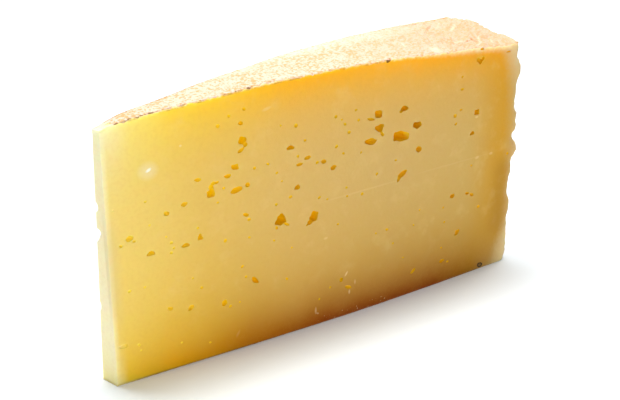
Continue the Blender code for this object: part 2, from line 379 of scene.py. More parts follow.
# How uneven the knife left the paste, the ragged lip that it pushed up under the rind, and the ragged edge
# where the rind broke and droops over the cut
PASTE_WAVE = 0.00007
PASTE_WAVE_SIZE = 0.012
PASTE_WAVE_NOISE = (0.8, 2.0, 3)
LIP = 0.00040
LIP_HEIGHT = 0.0007
LIP_PITCH = 0.0016
RIND_DEPTH_AT_CUT = 0.5
EDGE_DROOP = 0.00085
EDGE_DROOP_REACH = 0.0016
EDGE_DROOP_PITCH = 0.0024
EDGE_DROOP_NOISE = (0.6, 2.2, 3)
RAGGED_BASE = 0.4


def rind_depth(place, along, across):
    """How far the rind lies under its smooth shape here: crags, cloth grain, and wrinkles towards the rim."""
    crag = 0.5 + 0.5 * noise.fractal(place / CRAG_SIZE, *CRAG_NOISE)
    threads = math.sin(along / CLOTH_PITCH * CLOTH_TURN) + math.sin(across / CLOTH_PITCH * CLOTH_TURN)
    cloth = 0.5 + 0.25 * threads
    toward_rim = min(max((along / LENGTH - WRINKLES_FROM) / WRINKLES_GROW_OVER, 0.0), 1.0)
    slanted = Vector((along - across, (along + across) * WRINKLE_STRETCH, 0.0)) / WRINKLE_SIZE
    wrinkle = 1.0 - abs(noise.noise(slanted) * 2.0)
    wrinkle = max(wrinkle, 0.0) ** WRINKLE_SHARPNESS * toward_rim
    crag_depth = CRAG_DEPTH * mix(1.0, CRAG_SHARE_AT_RIM, toward_rim)
    return crag_depth * max(crag, 0.0) + CLOTH_DEPTH * cloth + WRINKLE_DEPTH * wrinkle


def paste_depth(place, under):
    """How far the paste lies under its smooth shape, at a distance under the rind: waves, and the lip."""
    if under < LIP_HEIGHT:
        return -LIP * (RAGGED_BASE + noise.noise(place / LIP_PITCH)) * (1.0 - under / LIP_HEIGHT)
    return PASTE_WAVE * (1.0 + noise.fractal(place / PASTE_WAVE_SIZE, *PASTE_WAVE_NOISE))


def edge_droop(along, from_edge):
    ragged = RAGGED_BASE + noise.fractal(Vector((along / EDGE_DROOP_PITCH, 0.0, 0.0)), *EDGE_DROOP_NOISE)
    return EDGE_DROOP * max(ragged, 0.0) * (1.0 - from_edge / EDGE_DROOP_REACH)


def keep_inside(places, limit):
    """Flattens what would pass the limit, over a short soft stop."""
    over = np.maximum(places - (limit - SOFT_STOP), 0.0)
    return np.minimum(places, limit - SOFT_STOP) + SOFT_STOP * (1.0 - np.exp(-over / SOFT_STOP))


def roughen(block, even):
    """Sinks the rind's relief into the upper face and rim, and gives the paste its slight unevenness."""
    points = read_rows(block.data.vertices, "co")
    normals = read_rows(block.data.vertex_normals, "vector")
    on_top = even[:, 2] > HEIGHT - TOUCHING
    on_foot = even[:, 2] < TOUCHING
    on_rim = even[:, 0] > LENGTH - RIM_FRONT_CORNER * RIM_FACE_START
    at_cut = (even[:, 1] < EDGE_CELL * EDGE_CELLS) | (even[:, 1] > RIM_WIDTH_FOOT - EDGE_CELL * EDGE_CELLS)
    for index in range(len(points)):
        place = Vector(points[index])
        along, across, _ = place - ORIGIN
        if on_foot[index]:
            continue
        if on_top[index] or on_rim[index]:
            depth = rind_depth(place, along, across if on_top[index] else place.z)
            if on_top[index] and at_cut[index]:
                depth *= RIND_DEPTH_AT_CUT
            if on_rim[index]:
                depth -= RIM_OUT
        else:
            depth = paste_depth(place, HEIGHT - even[index][2])
        points[index] -= normals[index] * depth
        from_edge = max(even[index][1], HEIGHT - even[index][2])
        if from_edge < EDGE_DROOP_REACH:
            points[index][2] -= edge_droop(along, from_edge)
    points[:, 0] = keep_inside(points[:, 0], CAD_HIGH.x - BOX_GAP)
    move_corners(block, points)


MM = 0.001

# The eyes: bubbles that the knife opened. The larger ones stand at their places, in millimetres: along, up,
# width, height and tilt in degrees. Angular ones also have a number of corners, and where one corner points.
MAIN_EYES_MM = (
    (112.9, 64.5, 6.8, 3.9, -14), (110.9, 64.9, 3.2, 3.6, -10, 4, 45), (99.5, 65.2, 5.3, 2.5, -6),
    (120.0, 67.2, 4.2, 3.0, -6, 3, -90), (103.1, 69.5, 3.9, 2.8, -8, 3, -70),
    (104.2, 67.2, 2.6, 1.2, -56), (102.6, 74.7, 3.6, 3.0, -12, 4, 45), (99.3, 73.4, 3.3, 1.1, -14),
    (114.0, 74.5, 3.5, 2.2, 0, 3, 90), (112.6, 73.7, 1.8, 1.1, 10), (121.1, 57.9, 2.9, 2.3, -23),
    (113.7, 49.9, 4.8, 2.2, 29), (112.2, 48.2, 2.4, 1.3, 60), (83.7, 59.1, 2.6, 1.9, 14),
    (79.7, 62.1, 2.4, 1.7, -7), (73.2, 64.8, 2.6, 1.5, 4), (70.0, 63.1, 2.7, 1.3, 2),
    (66.5, 69.7, 3.1, 1.7, -3, 3, 90), (69.0, 55.0, 2.4, 1.8, 11, 3, 90), (75.5, 42.7, 4.2, 3.6, 52),
    (74.2, 41.2, 2.8, 2.2, 44), (73.0, 40.4, 1.5, 0.9, 40), (62.2, 44.7, 4.2, 4.2, -8, 3, 90),
    (62.6, 46.0, 2.2, 2.4, 70), (64.5, 42.6, 2.4, 1.0, -32), (60.6, 42.0, 1.1, 0.8, 0),
    (48.4, 75.8, 3.5, 3.2, -20, 4, 30), (49.4, 74.2, 1.8, 1.5, 40), (47.7, 72.7, 3.0, 1.4, 30),
    (47.9, 81.8, 1.9, 1.4, -20), (45.4, 67.4, 3.0, 2.2, -14, 4, 45), (42.5, 64.9, 2.4, 1.6, 4),
    (45.8, 59.4, 4.9, 2.0, 9), (49.8, 60.2, 2.0, 1.6, -40), (36.3, 60.2, 3.3, 3.0, -10, 4, 45),
    (36.5, 62.2, 1.9, 2.2, 10), (37.1, 63.4, 2.2, 1.4, 20), (38.5, 63.6, 1.8, 1.0, 8),
    (31.8, 65.9, 2.5, 1.4, -8), (26.7, 58.7, 2.4, 1.6, 9), (20.4, 57.0, 2.2, 1.7, -19),
    (31.8, 46.0, 2.5, 1.8, -75, 3, 90), (26.5, 44.4, 2.9, 1.6, 5, 3, 90),
    (14.5, 44.6, 2.8, 1.8, -3, 3, 90), (7.5, 51.5, 2.6, 2.1, 10), (9.0, 50.3, 1.3, 1.0, 0),
    (4.5, 49.7, 1.5, 1.1, -30), (51.8, 24.9, 3.9, 1.9, -45, 3, 90), (39.8, 19.7, 2.6, 2.0, 65),
    (27.4, 21.4, 2.4, 1.8, 42), (20.1, 23.2, 2.1, 1.5, -28), (3.0, 14.2, 3.2, 1.6, 0),
    (148.2, 66.7, 2.7, 2.5, -33, 4, 45), (147.4, 86.7, 2.4, 1.5, -50), (149.4, 86.8, 2.2, 1.5, 50),
    (148.4, 86.0, 1.8, 2.0, 0), (148.9, 90.6, 1.9, 0.9, 0), (161.9, 87.6, 2.2, 0.6, 0),
    (146.4, 58.8, 2.2, 1.6, 10, 3, 90), (138.2, 35.5, 2.4, 1.8, 16), (145.7, 34.7, 2.1, 1.2, -15),
    (148.0, 33.6, 2.2, 1.3, -26), (141.5, 19.5, 2.9, 2.0, 51), (134.5, 9.3, 2.5, 1.5, 10),
    (120.3, 9.2, 3.2, 1.2, 35), (90.3, 11.3, 3.1, 1.3, -21), (87.2, 15.2, 1.9, 1.6, 75),
    (48.9, 49.8, 2.4, 1.4, -20),
)
# The small ones: along, up and width
SMALL_EYES_MM = (
    (13.5, 62.7, 1.1), (2.7, 62.1, 0.9), (14.5, 54.4, 0.9), (39.6, 82.4, 1.5), (43.7, 85.0, 1.3),
    (49.2, 86.3, 1.6), (50.0, 47.9, 1.5), (41.0, 61.1, 1.1), (38.6, 56.6, 1.0), (21.6, 46.6, 1.2),
    (22.4, 44.6, 1.0), (21.4, 43.1, 1.2), (40.9, 42.4, 1.4), (20.0, 49.1, 1.1), (31.1, 49.4, 1.0),
    (6.4, 33.4, 1.3), (11.6, 33.4, 1.1), (31.6, 27.7, 1.2), (46.9, 31.4, 1.4), (48.3, 27.2, 1.1),
    (28.6, 32.0, 0.9), (41.9, 17.8, 1.4), (8.4, 13.1, 1.5), (9.0, 10.9, 0.9), (23.5, 9.4, 0.9),
    (33.9, 6.2, 1.0), (45.6, 18.3, 0.9), (68.7, 77.0, 1.6), (62.8, 78.2, 0.9), (84.7, 77.1, 1.4),
    (88.5, 73.7, 1.5), (87.1, 75.6, 1.0), (93.0, 77.9, 1.2), (94.1, 74.1, 1.3), (90.2, 70.5, 1.5),
    (85.0, 66.4, 1.5), (87.8, 63.3, 1.3), (95.3, 62.1, 0.9), (72.2, 71.2, 1.2), (69.4, 66.1, 1.2),
    (77.1, 62.3, 1.4), (52.6, 65.5, 1.3), (57.7, 65.8, 1.4), (61.1, 62.0, 1.2), (63.0, 58.6, 0.9),
    (60.6, 50.8, 1.2), (66.2, 52.2, 1.5), (77.9, 49.3, 1.3), (81.2, 47.9, 0.9), (89.2, 50.4, 1.0),
    (89.5, 47.1, 1.0), (85.7, 37.4, 1.1), (60.5, 42.5, 1.1), (49.9, 41.4, 1.1), (59.4, 37.8, 1.1),
    (66.5, 33.3, 0.9), (64.3, 22.0, 1.4), (77.7, 10.1, 1.0), (82.4, 13.5, 1.0), (96.0, 46.4, 1.4),
    (102.4, 52.5, 1.4), (107.4, 29.7, 1.5), (102.4, 29.5, 1.0), (110.4, 23.4, 1.0), (110.7, 55.9, 1.2),
    (115.4, 16.2, 1.0), (119.9, 28.3, 1.0), (122.6, 33.7, 1.0), (134.0, 31.8, 1.0), (134.9, 25.6, 1.0),
    (134.0, 15.1, 1.1), (137.5, 8.2, 1.3), (140.4, 76.9, 1.7), (140.2, 81.6, 1.1), (140.3, 69.1, 1.4),
    (137.6, 67.3, 1.8), (138.2, 64.1, 1.5), (146.9, 45.8, 1.1), (151.8, 27.7, 1.5), (163.4, 46.7, 1.4),
)
SMALL_EYE_SHAPES = (0.65, 1.0)
EYE_TILTS = (-50, 50)

# The eyes in the cut behind are drawn at random: shares of the length and height, widths in metres, and
# how tall they are for their width. More of them lie high up, and most are small.
EYES_BEHIND = 95
EYES_BEHIND_ALONG = (0.05, 0.93)
EYES_BEHIND_UP = (0.08, 0.93)
EYES_BEHIND_RISE = 0.75
EYES_BEHIND_WIDTH = (0.0010, 0.0050)
EYES_BEHIND_SMALLNESS = 3
EYES_BEHIND_SHAPES = (0.5, 0.95)
EYES_BEHIND_CORNERS = (0, 0, 3)

# Depths are shares of an eye's smaller side. Eyes wider than these sizes get finer meshes.
EYE_DEPTH = 0.66
CRACK_DEPTH = 0.95
SMALL_EYE_DEPTH = 0.42
EYE_SINK = 0.25
EYE_LUMPINESS = 0.26
EYE_LUMP_RATE = 2.6
NOISE_SPREAD = 50.0
CORNER_SHARPNESS = 0.42
CORNERS_OF_CRACK = 3
COARSE_EYE = 0.0018
LARGE_EYE = 0.0038

# Nicks in the back edge of the thin end: how far up, how tall, how deep
EDGE_NICKS = ((0.0545, 0.0046, 0.0015), (0.0640, 0.0034, 0.0008), (0.0285, 0.0030, 0.0005))
NICK_WIDTH = 0.0050
# Pits in the upper rind near the rim: along, across, length, width and turn
RIND_PITS_MM = ((152.0, 10.8, 2.6, 1.2, 70), (151.2, 8.2, 2.8, 0.8, 100), (149.6, 10.2, 2.2, 0.8, 20))
RIND_PIT_DEPTH = 0.0006
LEAN_OF_PITS = 0.001
# Strokes that the cloth's folds left in the rind near the rim: along, across, length, width, tilt, strength.
# Light ones stand proud and are painted as highlight, and brown ones lie in the folds and are painted as
# shade.
LIGHT_STROKES_MM = (
    (155.2, 9.1, 11.8, 1.4, 52, 0.42),
    (150.5, 3.8, 10.9, 1.2, 35, 0.40),
    (145.5, 9.3, 6.0, 2.0, -11, 0.45),
    (158.6, 6.0, 8.0, 1.1, 58, 0.35),
    (161.5, 5.2, 6.5, 1.0, 62, 0.30),
    (130.4, 3.7, 7.6, 5.0, 75, 0.6),
    (154.2, 31.0, 14.0, 1.6, 44, 0.5),
    (156.0, 25.0, 13.0, 1.6, 41, 0.5),
    (122.6, 12.5, 5.0, 0.9, 75, 0.7),
)
BROWN_STROKES_MM = (
    (152.1, 9.2, 8.5, 1.2, 63, 1.0),
    (149.0, 8.5, 5.0, 1.0, 17, 0.8),
    (143.8, 14.2, 6.0, 1.4, -68, 0.6),
    (142.4, 6.4, 9.4, 1.4, -81, 0.7),
    (148.3, 30.0, 13.0, 1.5, 42, 0.7),
    (155.6, 32.0, 10.0, 1.4, 44, 0.5),
    (150.4, 3.0, 2.6, 1.6, 14, 0.8),
    (60.9, 1.3, 1.6, 2.0, 0, 1.0),
    (107.3, 0.7, 2.0, 2.0, 40, 1.0),
)


def add_hollow(draw, place, outward, width, height, tilt, corners=0, corner_at=0.0, depth=0.0):
    """One lumpy hollow, centred a little under a face whose outward direction is given.

    Returns it with its centre and its reach, which tell the hollows that touch.
    """
    sink = 0.0 if depth else EYE_SINK
    depth = depth or (CRACK_DEPTH if corners == CORNERS_OF_CRACK else EYE_DEPTH) * min(width, height)
    detail = 2 + (width >= COARSE_EYE) + (width >= LARGE_EYE)
    bpy.ops.mesh.primitive_ico_sphere_add(subdivisions=detail, radius=0.5)
    hollow = bpy.context.object
    shift = Vector((draw.random(), draw.random(), draw.random())) * NOISE_SPREAD
    for corner in hollow.data.vertices:
        around = math.atan2(corner.co.y, corner.co.x)
        sharp = math.cos(corners * (around - math.radians(corner_at - tilt)))
        angular = 1.0 + (CORNER_SHARPNESS / corners * sharp if corners else 0.0)
        lumps = 1.0 + EYE_LUMPINESS * noise.noise(corner.co * EYE_LUMP_RATE + shift)
        corner.co = Vector((corner.co.x * angular, corner.co.y * angular, corner.co.z)) * lumps
    side = Vector((0.0, 0.0, 1.0)).cross(outward).normalized()
    facing = Matrix((side, outward.cross(side), outward)).transposed().to_4x4()
    turned = Matrix.Rotation(math.radians(tilt), 4, "Z")
    sized = Matrix.Diagonal((width, height, 2 * depth, 1.0))
    centre = place - outward * depth * sink
    hollow.data.transform(Matrix.Translation(centre) @ facing @ turned @ sized)
    return hollow, centre, (width + height) / 2


def wedge_point(*place):
    """One point of the square block, given as along, across and up, carried onto the wedge."""
    return Vector(wedge_points(*(np.array([number]) for number in place))[0])


def cut_place(along, across, up):
    """A point of a cut face: along and across in the block, and its height above the table."""
    share = HEIGHT / float(upper_rind(np.array([along]), np.array([across]))[0])
    return wedge_point(along, across, up * share)


def add_eye_cutters():
    """Every eye and nick as hollows to cut away, joined into groups in which no two touch."""
    draw = random.Random(SEED + 2)
    hollows = []
    forward = Vector((0.0, -1.0, 0.0))
    for row in MAIN_EYES_MM:
        along, up, width, height = (number * MM for number in row[:4])
        place = cut_place(along, 0.0, up)
        hollows.append(add_hollow(draw, place, forward, width, height, *row[4:]))
    for row in SMALL_EYES_MM:
        along, up, width = (number * MM for number in row)
        height = width * draw.uniform(*SMALL_EYE_SHAPES)
        depth = SMALL_EYE_DEPTH * width
        place = cut_place(along, 0.0, up)
        tilt = draw.uniform(*EYE_TILTS)
        hollows.append(add_hollow(draw, place, forward, width, height, tilt, depth=depth))
    backward = Vector((THIN_END_WIDTH_FOOT - RIM_WIDTH_FOOT, LENGTH, 0.0)).normalized()
    for _ in range(EYES_BEHIND):
        along = draw.uniform(*EYES_BEHIND_ALONG) * LENGTH
        up = mix(*EYES_BEHIND_UP, draw.random() ** EYES_BEHIND_RISE) * HEIGHT
        width = mix(*EYES_BEHIND_WIDTH, draw.random() ** EYES_BEHIND_SMALLNESS)
        height = width * draw.uniform(*EYES_BEHIND_SHAPES)
        place = cut_place(along, RIM_WIDTH_FOOT, up)
        tilt = draw.uniform(*EYE_TILTS)
        corners = draw.choice(EYES_BEHIND_CORNERS)
        hollows.append(add_hollow(draw, place, backward, width, height, tilt, corners, draw.uniform(0, 360)))
    outward = Vector((-THIN_END_WIDTH_FOOT, THIN_END_SLANT_FOOT, 0.0)).normalized()
    for up, tall, deep in EDGE_NICKS:
        place = cut_place(0.0, RIM_WIDTH_FOOT, up)
        hollows.append(add_hollow(draw, place, outward, NICK_WIDTH, tall, 0.0, depth=deep))
    return join_apart(hollows)


def add_pit_cutters():
    """The rind's pits as hollows. Their upward direction leans by a hair, because straight up has no side."""
    draw = random.Random(SEED + 3)
    hollows = []
    for along, across, width, height, tilt in RIND_PITS_MM:
        place = wedge_point(along * MM, across * MM, HEIGHT)
        upward = Vector((0.0, LEAN_OF_PITS, 1.0)).normalized()
        hollows.append(add_hollow(draw, place, upward, width * MM, height * MM, tilt, depth=RIND_PIT_DEPTH))
    return join_apart(hollows)


def select_only(*chosen):
    """Selects these objects alone, and makes the first one active."""
    bpy.ops.object.select_all(action="DESELECT")
    for one in chosen:
        one.select_set(True)
    bpy.context.view_layer.objects.active = chosen[0]


def join_apart(hollows):
    """Sorts the hollows into groups in which no two touch, and joins each group into one object."""
    groups = []
    for hollow, centre, reach in hollows:
        for group in groups:
            if all((centre - other).length > reach + other_reach for _, other, other_reach in group):
                group.append((hollow, centre, reach))
                break
        else:
            groups.append([(hollow, centre, reach)])
    joined = []
    for group in groups:
        select_only(*(hollow for hollow, _, _ in group))
        bpy.ops.object.join()
        joined.append(bpy.context.object)
    return joined


def cut_out(block, cutter, wall_slot):
    """Cuts a group of hollows out of the block, and gives their walls a material slot."""
    for slot in block.data.materials:
        cutter.data.materials.append(slot)
    cutter.data.polygons.foreach_set("material_index", [wall_slot] * len(cutter.data.polygons))
    select_only(block)
    modifier = block.modifiers.new("hollows", "BOOLEAN")
    modifier.operation = "DIFFERENCE"
    modifier.solver = "MANIFOLD"
    modifier.object = cutter
    bpy.ops.object.modifier_apply(modifier=modifier.name)
    bpy.data.objects.remove(cutter, do_unlink=True)


class Field:
    """A number that varies over a surface. Its operators add the Math nodes."""

    def __init__(self, finish, socket):
        self.finish = finish
        self.socket = socket

    def of(self, operation, *others):
        sockets = dict(enumerate((self, *others)))
        return self.finish.node("Math", {"operation": operation}, sockets)

    def __add__(self, other):
        return self.of("ADD", other)

    def __mul__(self, other):
        return self.of("MULTIPLY", other)

    def __sub__(self, other):
        return self.of("SUBTRACT", other)

    def __rsub__(self, other):
        return (self * -1.0).of("ADD", other)

    def __truediv__(self, other):
        return self.of("DIVIDE", other)

    def __pow__(self, other):
        return self.of("POWER", other)

    def clamp(self):
        return self.finish.node("Math", {"operation": "ADD", "use_clamp": True}, {0: self, 1: 0.0})

    __radd__ = __add__
    __rmul__ = __mul__


class Finish:
    """A material and the calls that build its nodes."""

    def __init__(self, name):
        self.material = bpy.data.materials.new(name)
        self.material.use_nodes = True
        self.tree = self.material.node_tree
        self.shader = self.tree.nodes["Principled BSDF"]

    def put(self, place, value):
        if isinstance(value, Field):
            self.tree.links.new(value.socket, place)
        elif isinstance(value, tuple) and len(value) == 3 and place.type == "RGBA":
            place.default_value = (*value, 1.0)
        else:
            place.default_value = value

    def node(self, kind, settings, sockets, output=0):
        made = self.tree.nodes.new("ShaderNode" + kind)
        for name, value in settings.items():
            if name == "stops":
                set_stops(made.color_ramp, value)
            else:
                setattr(made, name, value)
        for name, value in sockets.items():
            self.put(made.inputs[name], value)
        return Field(self, made.outputs[output])

    def blend(self, share, low, high):
        """A colour between two others, by a share from 0 to 1."""
        return self.node("Mix", {"data_type": "RGBA"}, {0: share, 6: low, 7: high}, 2)

    def rise(self, field, start, end):
        """0 up to start, 1 from end, and a smooth step between."""
        sockets = {0: field, 1: start, 2: end, 3: 0.0, 4: 1.0}
        return self.node("MapRange", {"interpolation_type": "SMOOTHSTEP"}, sockets)

    def touch(self, field, start, end, strength):
        """A rise that ends at the strength."""
        return self.rise(field, start, end) * strength

    def ramp(self, share, stops):
        return self.node("ValToRGB", {"stops": stops}, {0: share})

    def bump(self, strength, height, field):
        return self.node("Bump", {}, {"Strength": strength, "Distance": height, "Height": field})

    def cloud(self, place, size, detail=3.0, roughness=0.55, stretch=None):
        """Noise from 0 to 1 whose blots are about the given size in metres."""
        if stretch:
            place = self.node("Mapping", {}, {0: place, 3: stretch})
        sockets = {"Vector": place, "Scale": 1.0 / size, "Detail": detail, "Roughness": roughness}
        return self.node("TexNoise", {}, sockets)

    def set(self, **sockets):
        for name, value in sockets.items():
            self.put(self.shader.inputs[name.replace("_", " ")], value)


def light_of(shade):
    """The share of light that a screen's shade from 0 to 1 stands for, by the usual sRGB curve."""
    return shade / 12.92 if shade <= 0.04 else ((shade + 0.055) / 1.055) ** 2.4


def paint(red, green, blue):
    """A colour as a painter reads it off, 0 to 255, turned into light."""
    return tuple(light_of(level / 255) for level in (red, green, blue))


def set_stops(ramp, stops):
    """Gives a ramp its stops, each a place from 0 to 1 and a painter's colour."""
    while len(ramp.elements) < len(stops):
        ramp.elements.new(1.0)
    for element, (place, *colour) in zip(ramp.elements, stops):
        element.position = place
        element.color = (*paint(*colour), 1.0)


# Paste colours, each along the cut from the thin end to the rim: over most of it, just under the upper
# rind, low down, at the foot, and in the dark line where the foot meets the table. They hold painted light
# besides the paste's own tones: paler towards the thin end as painted light shining through it, orange under
# the upper rind partly as the paste's own ring and partly as painted light come through the rind, darker low
# down and at the foot partly as painted shade, and the dark line is a painted contact shadow.
PASTE_ALONG = (
    (0.000, 252, 234, 188), (0.004, 250, 230, 164), (0.012, 240, 214, 118), (0.10, 237, 206, 112),
    (0.20, 232, 194, 103), (0.42, 223, 185, 110), (0.65, 214, 178, 108), (1.00, 209, 173, 98),
)
PASTE_UNDER_TOP = (
    (0.00, 253, 242, 200), (0.06, 255, 233, 122), (0.14, 255, 218, 60), (0.40, 254, 186, 0),
    (0.70, 254, 180, 0), (1.00, 236, 161, 0),
)
PASTE_LOW_DOWN = (
    (0.000, 254, 244, 212), (0.004, 248, 224, 144), (0.012, 236, 198, 76), (0.12, 230, 184, 6),
    (0.30, 204, 154, 16), (0.55, 196, 147, 24), (0.85, 189, 141, 16), (1.00, 176, 128, 20),
)
PASTE_AT_FOOT = (
    (0.00, 252, 232, 160), (0.025, 240, 196, 40), (0.12, 232, 164, 0), (0.30, 182, 108, 0),
    (0.48, 152, 70, 0), (0.76, 142, 65, 0), (0.89, 160, 104, 10), (1.00, 202, 164, 96),
)
# The dark line where the foot meets the table, a painted contact shadow
FOOT_CONTACT_SHADOW = (
    (0.00, 240, 214, 130), (0.07, 150, 118, 50), (0.28, 92, 70, 40), (0.46, 160, 90, 50),
    (0.80, 155, 84, 50), (0.90, 170, 130, 70), (1.00, 216, 188, 136),
)
# How far each band reaches from its edge, and how steeply it ends
UNDER_TOP_FADE = (0.0125, 1.25)
LOW_FADE = (0.032, 1.5)
FOOT_FADE = (0.0112, 1.3)
FADE_MOTTLE = 0.4
MOTTLE_SIZE = 0.014
LOW_STRENGTH = 0.75
PASTE_AT_RIM = paint(212, 152, 10)
# Each touch of colour has the place where it starts, the place where it is full, and its strength.
NEAR_RIM = (LENGTH - 0.026, LENGTH - 0.005, 0.80)
FOOT_CONTACT_SHADOW_TOUCH = (0.0011, 0.0002, 0.8)


def fade(distance, reach, steepness, mottle):
    """1 at no distance, falling to 0 over the reach, a little unevenly."""
    far = (distance * (1.0 / reach)).of("MAXIMUM", 0.0) ** steepness
    return ((0.5 - mottle) * FADE_MOTTLE - far).of("EXPONENT").clamp()


def block_coordinates(finish, place):
    """How far along the shown cut, across from it, and up from the table a surface lies."""
    x, y, z = (finish.node("SeparateXYZ", {}, {0: place}, axis) for axis in range(3))
    return x - ORIGIN.x, y - ORIGIN.y, z


def paste_colour(finish):
    """The paste's colour over the cut faces, and the coordinates and places that it is worked out from."""
    place = finish.node("TexCoord", {}, {}, 3)
    along, across, up = block_coordinates(finish, place)
    share = (along / LENGTH).clamp()
    dome = (share * math.pi).of("SINE") ** DOME_SHARPNESS * DOME
    under_top = dome + across * (BACK_RISE / RIM_WIDTH_TOP) + HEIGHT - up
    mottle = finish.cloud(place, MOTTLE_SIZE)
    # These ramps mix painted light into the paste's own colour: a paler thin end, light come through the
    # rind, and shade low down and at the foot
    colour = finish.ramp(share, PASTE_ALONG)
    orange = finish.ramp(share, PASTE_UNDER_TOP)
    brown = finish.ramp(share, PASTE_AT_FOOT)
    amber = finish.ramp(share, PASTE_LOW_DOWN)
    near_top = fade(under_top, *UNDER_TOP_FADE, mottle)
    low_down = fade(up, *LOW_FADE, mottle)
    near_foot = fade(up, *FOOT_FADE, mottle)
    near_rim = finish.touch(along, *NEAR_RIM)
    colour = finish.blend(near_rim, colour, PASTE_AT_RIM)
    colour = finish.blend(near_top, colour, orange)
    colour = finish.blend(low_down * LOW_STRENGTH, colour, amber)
    colour = finish.blend(near_foot, colour, brown)
    # A painted contact shadow along the foot
    contact_shadow = finish.ramp(share, FOOT_CONTACT_SHADOW)
    colour = finish.blend(finish.touch(up, *FOOT_CONTACT_SHADOW_TOUCH), colour, contact_shadow)
    return colour, place, along, across, under_top, up


# Light marks on the shown cut, in millimetres: along, up, length, thickness, tilt in degrees, and strength.
# The first two are a painted highlight, a glint on a greasy spot and its halo, then come a long faint scratch
# and smears.
LIGHT_MARKS_MM = (
    (15.2, 72.8, 2.4, 1.2, 30, 0.95),
    (15.0, 72.6, 8.0, 7.0, 0, 0.24),
    (26.4, 78.5, 1.1, 0.9, 0, 0.60),
    (97.0, 47.6, 40.0, 0.9, 1.0, 0.14),
    (138.0, 48.6, 44.0, 0.8, 0.5, 0.08),
    (150.0, 48.4, 2.4, 1.4, 10, 0.28),
    (157.0, 48.6, 2.2, 1.4, 0, 0.28),
    (57.7, 84.8, 4.2, 1.4, 12, 0.30),
    (80.5, 33.2, 2.2, 1.2, 5, 0.28),
    (76.2, 5.9, 1.1, 3.4, 0, 0.32),
    (77.0, 4.6, 1.6, 0.9, -30, 0.30),
    (89.4, 16.9, 2.6, 0.9, 55, 0.55),
    (90.8, 9.3, 1.0, 2.2, 0, 0.42),
    (93.3, 12.6, 0.9, 2.4, 0, 0.26),
    (148.4, 64.8, 1.9, 1.1, 0, 0.45),
    (44.6, 6.4, 3.4, 1.2, 60, 0.10),
)
# The white of the painted glint and its halo
PAINTED_GLINT_WHITE = paint(255, 250, 232)
CREAM_SMEAR = paint(250, 226, 168)
GLINT_TO_CREAM = (0.018, 0.030)
# Pale crumbs along the foot: their size, where the grain turns into crumbs, and where they lie
CRUMB_SIZE = 0.0011
CRUMB_GRAIN = (0.66, 0.72)
CRUMBS_UP = (0.0036, 0.0022)
CRUMBS_FROM = (0.070, 0.074)
CRUMBS_TO = (0.111, 0.107, 0.35)
# Dark specks painted into the edge between the cut and the upper rind: along and half length, in millimetres
EDGE_SPECKS_MM = ((5.6, 1.3), (9.8, 1.5), (13.7, 1.3), (16.9, 1.8), (46.5, 0.5), (51.4, 1.4), (106.3, 1.4))
EDGE_SPECKS_UNDER = (0.00084, 0.00030)
EDGE_SPECKS_GRAIN = (0.62, 0.80)
EDGE_SPECKS_PULL = 0.5
EDGE_SPECK_BROWN = paint(134, 92, 46)
# The largest dark fleck, on the shown cut's upper edge, and the black spot at the foot near the rim, with
# its lighter middle, both in the same terms as the light marks. Each has a ragged edge.
FLECK_MM = (106.6, 93.2, 3.0, 1.5, 32, 1.0)
FLECK_RAGGED = 0.4
FLECK_EDGE = (0.15, 0.40)
FLECK_STRENGTH = 0.9
FLECK_BROWN = paint(96, 58, 18)
BLACK_SPOT_MM = (155.3, 1.7, 3.8, 2.7, -15, 1.0)
SPOT_RAGGED = 0.8
SPOT_EDGE = (0.30, 0.50)
SPOT_CORE = (0.70, 0.92)
SPOT_STRENGTH = 0.95
SPOT_CORE_LIGHTER = 0.45
SPOT_BLACK = paint(38, 38, 30)
# The paste's own touches: heights over the table, distances under the upper rind or along from the thin
# end, or levels of a cloud from 0 to 1
OFF_SHOWN_CUT = (0.0024, 0.0016)
PASTE_GRAIN = 0.0012
GRAIN_TOUCH = (0.40, 0.75, 0.09)
GRAIN_OCHRE = paint(206, 150, 60)
PALE_SIZE = 0.0060
PALE_LEVELS = (0.50, 0.80)
PALE_HEIGHTS = (0.006, 0.030, 0.14)
PALE_CREAM = paint(246, 218, 150)
# The rind's pale section in the cut's upper edge, which thickens twice on the way to the rim
SECTION_THICKNESS = 0.0015
SECTION_THICKER = (0.100, 0.150, 0.0026)
SECTION_THICKEST = (0.152, 0.165, 0.0018)
SECTION_RAGGED = 0.0018
SECTION_STRENGTH = 0.95
SECTION_CREAM = paint(246, 226, 182)
# The broken grey line of painted shadow under the lip, over the thin half of the cut
LIP_PATCH_SIZE = 0.007
LIP_PATCHES = (0.46, 0.58)
LIP_ENDS = (0.124, 0.112)
LIP_LINE_LOWER = (0.0014, 0.0009)
LIP_LINE_UPPER = (0.0002, 0.0006)
LIP_GRAIN = (0.30, 0.50, 0.55)
LIP_SHADOW_GREY = paint(150, 112, 66)
# The darker shade beside the rim at middle heights, the pale strip at the rim, which widens up and down
# from there and is partly the rind seen edge-on and partly painted light caught by the rounded corner, and
# the duller painted shade beside the thin end
MIDDLE_LOWER = (0.010, 0.019)
MIDDLE_UPPER = (0.050, 0.040)
RIM_SHADE = (LENGTH - 0.013, LENGTH - 0.005, 0.40)
RIM_SHADE_OCHRE = paint(158, 112, 30)
RIND_AND_LIGHT_STRIP = (LENGTH - 0.0068, LENGTH + 0.0022, 0.92)
RIND_AND_LIGHT_NARROWER = 0.0013
RIND_AND_LIGHT_RAGGED = 0.0024
RIND_AND_LIGHT_WIDER = ((0.058, 0.080, 0.0020), (0.016, 0.002, 0.0026), (0.078, 0.090, 0.0030))
RIND_AND_LIGHT_TOP_END = (0.072, 0.086)
RIND_AND_LIGHT_FOOT_END = (0.022, 0.008)
RIND_AND_LIGHT_TAN = paint(206, 172, 112)
RIND_AND_LIGHT_CREAM = paint(224, 198, 144)
END_SHADE = (0.0055, 0.0008)
